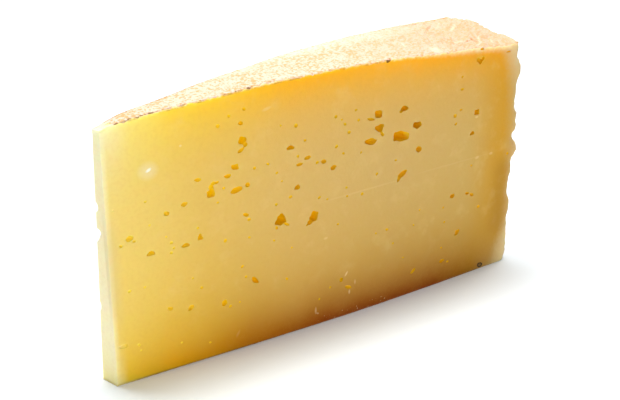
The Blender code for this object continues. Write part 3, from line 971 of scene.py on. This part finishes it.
END_SHADE_LOWER = (0.018, 0.034)
END_SHADE_UPPER = (0.066, 0.048, 0.45)
END_SHADE_STRAW = paint(220, 200, 142)
PASTE_BUMP = (0.30, 0.0003)
PASTE_ROUGHNESS = 0.50
PASTE_ROUGHNESS_VARIES = 0.2
# Light goes this far into cheese, red furthest
GLOW_REACH = (0.0075, 0.0040, 0.0014)
PASTE_GLOW = 0.45
CHEESE_IOR = 1.42
CHEESE_SHEEN = 0.10


def blot(along, up, row):
    """A soft oval on the cut, from 0 around it to its strength in the middle."""
    middle, height, length, thickness, tilt, strength = row
    turn = math.radians(tilt)
    x = along - middle * MM
    y = up - height * MM
    across_long = (x * math.cos(turn) + y * math.sin(turn)) * (2 / (length * MM))
    across_short = (y * math.cos(turn) - x * math.sin(turn)) * (2 / (thickness * MM))
    return (1 - across_long * across_long - across_short * across_short).clamp() * strength


def blots_at(along, up, rows):
    """All the blots of a table together, from 0 to 1."""
    return sum(blot(along, up, row) for row in rows).clamp()


def edge_speck_mask(along):
    """Where along the upper front edge the dark specks sit, 0 to 1."""
    offsets = ((along - middle * MM) / (half * MM) for middle, half in EDGE_SPECKS_MM)
    return sum((1 - offset * offset).clamp() for offset in offsets).clamp()


def rough_edges(finish, colour, under_top, along, place, fine):
    """Paints the rind's section in the cut's upper edge, and the broken line of painted shadow under the lip.
    """
    thicker = finish.touch(along, *SECTION_THICKER) + finish.touch(along, *SECTION_THICKEST)
    thickness = thicker + SECTION_THICKNESS
    section = finish.rise(under_top + (fine - 0.5) * SECTION_RAGGED, thickness, 0.0)
    colour = finish.blend(section * section * SECTION_STRENGTH, colour, SECTION_CREAM)
    patchy = finish.rise(finish.cloud(place, LIP_PATCH_SIZE), *LIP_PATCHES) * finish.rise(along, *LIP_ENDS)
    # Painted shadow under the lip
    lip_shadow = finish.rise(under_top, *LIP_LINE_LOWER) * finish.rise(under_top, *LIP_LINE_UPPER) * patchy
    return finish.blend(lip_shadow * finish.touch(fine, *LIP_GRAIN), colour, LIP_SHADOW_GREY)


def shade_ends(finish, colour, along, up, fine, on_shown_cut):
    """Paints the shade and the pale strip at the rim, partly painted light, and the painted shade at the thin
    end.
    """
    middle = finish.rise(up, *MIDDLE_LOWER) * finish.rise(up, *MIDDLE_UPPER)
    colour = finish.blend(finish.touch(along, *RIM_SHADE) * middle, colour, RIM_SHADE_OCHRE)
    rind_and_light_to = along - middle * RIND_AND_LIGHT_NARROWER + (fine - 0.5) * RIND_AND_LIGHT_RAGGED
    for heights in RIND_AND_LIGHT_WIDER:
        rind_and_light_to = rind_and_light_to + finish.touch(up, *heights)
    # The pale strip at the rim: partly the rind seen edge-on, partly painted light caught by the rounded
    # corner
    worn = finish.touch(rind_and_light_to, *RIND_AND_LIGHT_STRIP)
    at_ends = finish.rise(up, *RIND_AND_LIGHT_TOP_END) + finish.rise(up, *RIND_AND_LIGHT_FOOT_END)
    colour = finish.blend(worn, colour, finish.blend(at_ends, RIND_AND_LIGHT_TAN, RIND_AND_LIGHT_CREAM))
    # Painted shade on the cut beside the thin end
    beside_end = finish.rise(along, *END_SHADE) * on_shown_cut
    end_shade = beside_end * finish.rise(up, *END_SHADE_LOWER) * finish.touch(up, *END_SHADE_UPPER)
    return finish.blend(end_shade, colour, END_SHADE_STRAW)


def mark_shown_cut(finish, colour, place, along, under_top, up, fine, on_shown_cut):
    """Paints the shown cut's light marks with the painted glint among them, its crumbs, the dark specks in
    its upper edge and its two dark spots.
    """
    crumbs = finish.rise(finish.cloud(place, CRUMB_SIZE, detail=1.0), *CRUMB_GRAIN)
    crumbs = crumbs * finish.rise(up, *CRUMBS_UP) * finish.rise(along, *CRUMBS_FROM)
    crumbs = crumbs * finish.touch(along, *CRUMBS_TO)
    light = (blots_at(along, up, LIGHT_MARKS_MM) + crumbs).clamp() * on_shown_cut
    # Near the thin end the light marks take the white of the painted glint
    cream = finish.blend(finish.rise(along, *GLINT_TO_CREAM), PAINTED_GLINT_WHITE, CREAM_SMEAR)
    colour = finish.blend(light, colour, cream)
    dark_specks = edge_speck_mask(along) * finish.rise(under_top, *EDGE_SPECKS_UNDER)
    ragged = finish.rise(fine + dark_specks * EDGE_SPECKS_PULL, *EDGE_SPECKS_GRAIN) * on_shown_cut
    colour = finish.blend(ragged * dark_specks, colour, EDGE_SPECK_BROWN)
    fleck = finish.rise(blot(along, up, FLECK_MM) + (fine - 0.5) * FLECK_RAGGED, *FLECK_EDGE) * on_shown_cut
    colour = finish.blend(fleck * FLECK_STRENGTH, colour, FLECK_BROWN)
    spot = finish.rise(blot(along, up, BLACK_SPOT_MM) + (fine - 0.5) * SPOT_RAGGED, *SPOT_EDGE) * on_shown_cut
    core = finish.rise(blot(along, up, BLACK_SPOT_MM), *SPOT_CORE)
    return finish.blend(spot * (SPOT_STRENGTH - core * SPOT_CORE_LIGHTER), colour, SPOT_BLACK)


def paste_finish():
    finish = Finish("paste")
    colour, place, along, across, under_top, up = paste_colour(finish)
    on_shown_cut = finish.rise(across, *OFF_SHOWN_CUT)
    fine = finish.cloud(place, PASTE_GRAIN, detail=4.0)
    pale = finish.rise(finish.cloud(place, PALE_SIZE, detail=3.0), *PALE_LEVELS)
    colour = finish.blend(pale * finish.touch(up, *PALE_HEIGHTS), colour, PALE_CREAM)
    colour = finish.blend(finish.touch(fine, *GRAIN_TOUCH), colour, GRAIN_OCHRE)
    colour = rough_edges(finish, colour, under_top, along, place, fine)
    colour = shade_ends(finish, colour, along, up, fine, on_shown_cut)
    colour = mark_shown_cut(finish, colour, place, along, under_top, up, fine, on_shown_cut)
    roughness = PASTE_ROUGHNESS - (fine - 0.5) * PASTE_ROUGHNESS_VARIES
    finish.set(Base_Color=colour, Roughness=roughness, Normal=finish.bump(*PASTE_BUMP, fine))
    add_glow(finish, PASTE_GLOW)
    return finish.material


def add_glow(finish, weight):
    finish.set(Subsurface_Weight=weight, Subsurface_Radius=GLOW_REACH, Subsurface_Scale=1.0)
    finish.set(IOR=CHEESE_IOR, Specular_IOR_Level=CHEESE_SHEEN)


def depth_under_cuts(share, across, up):
    to_top = up / HEIGHT
    bow = (CUT_BOW_ENDS - (share * math.pi).of("SINE") * CUT_BOW_MIDDLE) * (1 - to_top)
    thin_end = to_top * (THIN_END_WIDTH_TOP - THIN_END_WIDTH_FOOT) + THIN_END_WIDTH_FOOT
    rim = to_top * (RIM_WIDTH_TOP - RIM_WIDTH_FOOT) + RIM_WIDTH_FOOT
    behind = thin_end + (rim - thin_end) * share
    return (across - bow).of("MINIMUM", behind - across)


# The eyes' walls along the cut: where they are shallow and where they are deep, as the light that bounces
# about in them makes them more orange. The pair is the depths between which one turns into the other.
EYE_ALONG = (
    (0.00, 252, 240, 200), (0.03, 254, 230, 90), (0.25, 250, 207, 18), (0.45, 235, 191, 14),
    (0.62, 228, 183, 14), (0.80, 230, 180, 16), (1.00, 232, 174, 14),
)
EYE_DEEP = (
    (0.00, 252, 238, 194), (0.03, 255, 226, 60), (0.20, 255, 217, 0), (0.32, 250, 204, 0),
    (0.45, 236, 180, 0), (0.61, 240, 182, 0), (0.69, 230, 165, 0), (0.80, 234, 168, 0),
    (1.00, 238, 188, 6),
)
EYE_OWN_COLOUR = 0.90
EYE_DEPTHS = (0.0005, 0.0022)
EYE_ROUGHNESS = 0.42
EYE_GLOW = 0.25


def eye_finish():
    finish = Finish("eye_wall")
    colour, _, along, across, _, up = paste_colour(finish)
    share = (along / LENGTH).clamp()
    shallow = finish.ramp(share, EYE_ALONG)
    deep = finish.ramp(share, EYE_DEEP)
    colour = finish.blend(EYE_OWN_COLOUR, colour, shallow)
    deepness = finish.rise(depth_under_cuts(share, across, up), *EYE_DEPTHS)
    finish.set(Base_Color=finish.blend(deepness, colour, deep), Roughness=EYE_ROUGHNESS)
    add_glow(finish, EYE_GLOW)
    return finish.material


# The rind's colours at the thin end and at the rim, and its touches
TOWARD_RIM = (LENGTH * 0.45, LENGTH * 0.95)
RIND_GRAIN = 0.0010
RIND_BLOT_SIZE = 0.0050
STREAK_WIDTH = 0.0015
STREAK_STRETCH = (0.22, 1.0, 1.0)
BRIGHT_AT_THIN_END = paint(229, 203, 180)
BRIGHT_AT_RIM = paint(222, 182, 152)
PEACH_AT_THIN_END = paint(208, 161, 98)
PEACH_AT_RIM = paint(211, 161, 96)
SPECK_BLOTS = 0.35
SPECK_LEVELS = (0.44, 0.62)
SPECK_STRENGTH = 0.90
SPECK_LESS_AT_RIM = 0.25
STREAK_TOUCH = (0.50, 0.68, 0.55)
STREAK_RED = paint(205, 151, 94)
DARK_SPECK_SIZE = 0.0013
DARK_SPECK_TOUCH = (0.70, 0.78, 0.6)
DARK_SPECK_BROWN = paint(158, 106, 62)
# The rim's own face is painted paler as painted light, most of all at the shown corner, where the rounded
# edge catches the light from behind
RIM_FACE = (LENGTH - 0.0040, LENGTH - 0.0005)
RIM_FACE_UNDER = (HEIGHT + 0.001, HEIGHT - 0.003)
SHOWN_CORNER = (0.018, 0.004, 0.50)
RIM_FACE_LIGHT_STRENGTH = 0.25
RIM_FACE_PAINTED_LIGHT = paint(232, 210, 168)
# Painted light whitens the upper rind towards the back, as light from behind grazing it, less at the rim and
# less on the specks
BACKLIGHT_SLANT = 0.12
BACKLIGHT_ACROSS = (0.003, 0.016)
BACKLIGHT_STRENGTH = 0.75
BACKLIGHT_LESS_AT_RIM = 0.62
BACKLIGHT_LESS_ON_SPECKS = 0.35
BACKLIGHT_WHITE = paint(240, 224, 202)
RIND_EDGE_SPECKS_ACROSS = (0.0012, 0.0003)
RIND_EDGE_SPECKS_GRAIN = (0.70, 0.86)
RIND_EDGE_SPECKS_PULL = 0.4
RIND_EDGE_SPECK_BROWN = paint(150, 106, 62)
PROUD_STROKE_HIGHLIGHT = paint(246, 226, 196)
STROKE_GRAIN = (0.25, 0.60)
FOLD_STROKE_SHADE = paint(180, 126, 78)
STREAK_RELIEF = 0.8
RIND_BUMP = (1.0, 0.0005)
RIND_ROUGHNESS = 0.78
RIND_GLOW = 0.10
RIND_GLOW_REACH = (0.0016, 0.0010, 0.0006)


def rind_finish():
    finish = Finish("rind")
    place = finish.node("TexCoord", {}, {}, 3)
    along, across, up = block_coordinates(finish, place)
    toward_rim = finish.rise(along, *TOWARD_RIM)
    grain = finish.cloud(place, RIND_GRAIN, detail=2.0, roughness=0.6)
    blots = finish.cloud(place, RIND_BLOT_SIZE, detail=3.0)
    slanted = finish.node("VectorRotate", {"rotation_type": "Z_AXIS"}, {0: place, 3: -math.pi / 4})
    streaks = finish.cloud(slanted, STREAK_WIDTH, detail=2.0, stretch=STREAK_STRETCH)
    bright = finish.blend(toward_rim, BRIGHT_AT_THIN_END, BRIGHT_AT_RIM)
    peach = finish.blend(toward_rim, PEACH_AT_THIN_END, PEACH_AT_RIM)
    speck = finish.rise(grain + (blots - 0.5) * SPECK_BLOTS, *SPECK_LEVELS)
    colour = finish.blend(speck * (SPECK_STRENGTH - toward_rim * SPECK_LESS_AT_RIM), bright, peach)
    colour = finish.blend(finish.touch(streaks, *STREAK_TOUCH) * toward_rim, colour, STREAK_RED)
    dark = finish.touch(finish.cloud(place, DARK_SPECK_SIZE, detail=2.0), *DARK_SPECK_TOUCH)
    colour = finish.blend(dark, colour, DARK_SPECK_BROWN)
    # Painted light on the rim's face and its shown corner
    rim_face_lit = finish.rise(along, *RIM_FACE) * finish.rise(up, *RIM_FACE_UNDER)
    lit_corner = finish.touch(across, *SHOWN_CORNER) + RIM_FACE_LIGHT_STRENGTH
    colour = finish.blend(rim_face_lit * lit_corner, colour, RIM_FACE_PAINTED_LIGHT)
    # Painted light from behind on the upper rind's back part
    backlit = finish.rise(across - along * BACKLIGHT_SLANT, *BACKLIGHT_ACROSS)
    backlit = backlit * (BACKLIGHT_STRENGTH - toward_rim * BACKLIGHT_LESS_AT_RIM) * (1 - speck * BACKLIGHT_LESS_ON_SPECKS)
    colour = finish.blend(backlit, colour, BACKLIGHT_WHITE)
    # The same dark specks, painted on the rind beside the edge
    dark_specks = edge_speck_mask(along) * finish.rise(across, *RIND_EDGE_SPECKS_ACROSS)
    specked = finish.rise(grain + dark_specks * RIND_EDGE_SPECKS_PULL, *RIND_EDGE_SPECKS_GRAIN) * dark_specks
    colour = finish.blend(specked, colour, RIND_EDGE_SPECK_BROWN)
    # Painted highlight on the proud strokes, then painted shade on those in the folds
    colour = finish.blend(blots_at(along, across, LIGHT_STROKES_MM), colour, PROUD_STROKE_HIGHLIGHT)
    brown = blots_at(along, across, BROWN_STROKES_MM) * finish.rise(grain, *STROKE_GRAIN)
    colour = finish.blend(brown, colour, FOLD_STROKE_SHADE)
    bump = finish.bump(*RIND_BUMP, grain + streaks * toward_rim * STREAK_RELIEF)
    finish.set(Base_Color=colour, Roughness=RIND_ROUGHNESS, Normal=bump)
    finish.set(Subsurface_Weight=RIND_GLOW, Subsurface_Radius=RIND_GLOW_REACH, Subsurface_Scale=1.0)
    return finish.material


SHARPEST_SMOOTH_EDGE = math.radians(40)

wedge = add_block()
wedge.data.materials.append(paste_finish())
wedge.data.materials.append(rind_finish())
even_places = shape_wedge(wedge)
roughen(wedge, even_places)
wedge.data.materials.append(eye_finish())
for eye_cutter in add_eye_cutters():
    cut_out(wedge, eye_cutter, EYE_SLOT)
for pit_cutter in add_pit_cutters():
    cut_out(wedge, pit_cutter, RIND_SLOT)
select_only(wedge)
bpy.ops.object.shade_smooth_by_angle(angle=SHARPEST_SMOOTH_EDGE)
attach(wedge, "root")
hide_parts("cheese")
